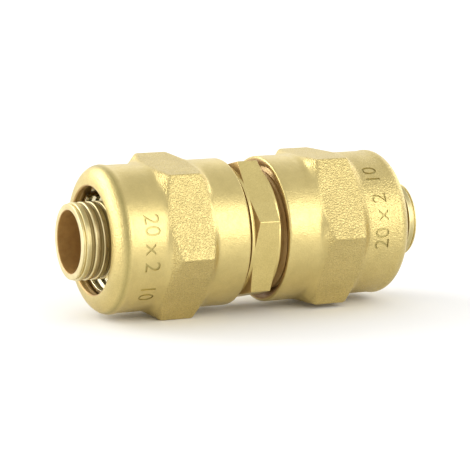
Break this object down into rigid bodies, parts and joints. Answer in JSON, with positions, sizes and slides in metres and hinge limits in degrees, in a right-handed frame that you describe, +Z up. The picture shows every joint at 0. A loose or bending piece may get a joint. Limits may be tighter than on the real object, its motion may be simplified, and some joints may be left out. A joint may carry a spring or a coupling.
{
  "type": "pipe coupling",
  "caption": "Straight brass coupling for plastic pipe: a double nipple with a hexagon nut, split clamping ring and grooved support sleeve on each side.",
  "frame": {"origin": "on the pipe axis, at the middle of the coupling's length and of the double nipple's hexagon", "axes": "+X along the pipe axis towards the right-hand nut, +Z up, out of the flat that the right-hand nut turns upwards"},
  "size_m": [0.0746, 0.0346, 0.032],
  "materials": {
    "forged_brass": "satin",
    "turned_brass": "machined",
    "ring_brass": "machined",
    "black_rubber": "matte",
    "white_plastic": "matte"
  },
  "bodies": {
    "nipple": {"double_nipple": "turned_brass"},
    "left_sleeve": {"left_support_sleeve": "turned_brass", "left_seal_ring_outer": "black_rubber", "left_seal_ring_inner": "black_rubber", "left_cone_seal_ring": "black_rubber", "left_insulating_disc": "white_plastic"},
    "left_clamp": {"left_clamp_ring": "ring_brass"},
    "left_nut": {"left_nut": "forged_brass"},
    "right_sleeve": {"right_support_sleeve": "turned_brass", "right_seal_ring_outer": "black_rubber", "right_seal_ring_inner": "black_rubber", "right_cone_seal_ring": "black_rubber", "right_insulating_disc": "white_plastic"},
    "right_clamp": {"right_clamp_ring": "ring_brass"},
    "right_nut": {"right_nut": "forged_brass"}
  },
  "joints": [
    {"name": "left_sleeve_slide", "type": "slide", "parent": "nipple", "child": "left_sleeve", "axis": [-1, 0, 0], "range_m": [0, 0.0025]},
    {"name": "left_clamp_travel", "type": "slide", "parent": "nipple", "child": "left_clamp", "axis": [-1, 0, 0], "range_m": [-0.0008, 0.0083]},
    {"name": "left_nut_turn", "type": "hinge", "parent": "left_clamp", "child": "left_nut", "pos_m": [-0.00411, 0, 0], "axis": [-1, 0, 0], "range_deg": [-130, 1620]},
    {"name": "right_sleeve_slide", "type": "slide", "parent": "nipple", "child": "right_sleeve", "axis": [1, 0, 0], "range_m": [-0.0008, 0.0017]},
    {"name": "right_clamp_travel", "type": "slide", "parent": "nipple", "child": "right_clamp", "axis": [1, 0, 0], "range_m": [-0.0011, 0.0083]},
    {"name": "right_nut_turn", "type": "hinge", "parent": "right_clamp", "child": "right_nut", "pos_m": [0.00445, 0, 0], "axis": [1, 0, 0], "range_deg": [-200, 1620]}
  ],
  "couplings": [
    {"joint": "left_clamp_travel", "follows": "left_nut_turn", "m_per_rad": 0.00028875},
    {"joint": "right_clamp_travel", "follows": "right_nut_turn", "m_per_rad": 0.00028875}
  ]
}
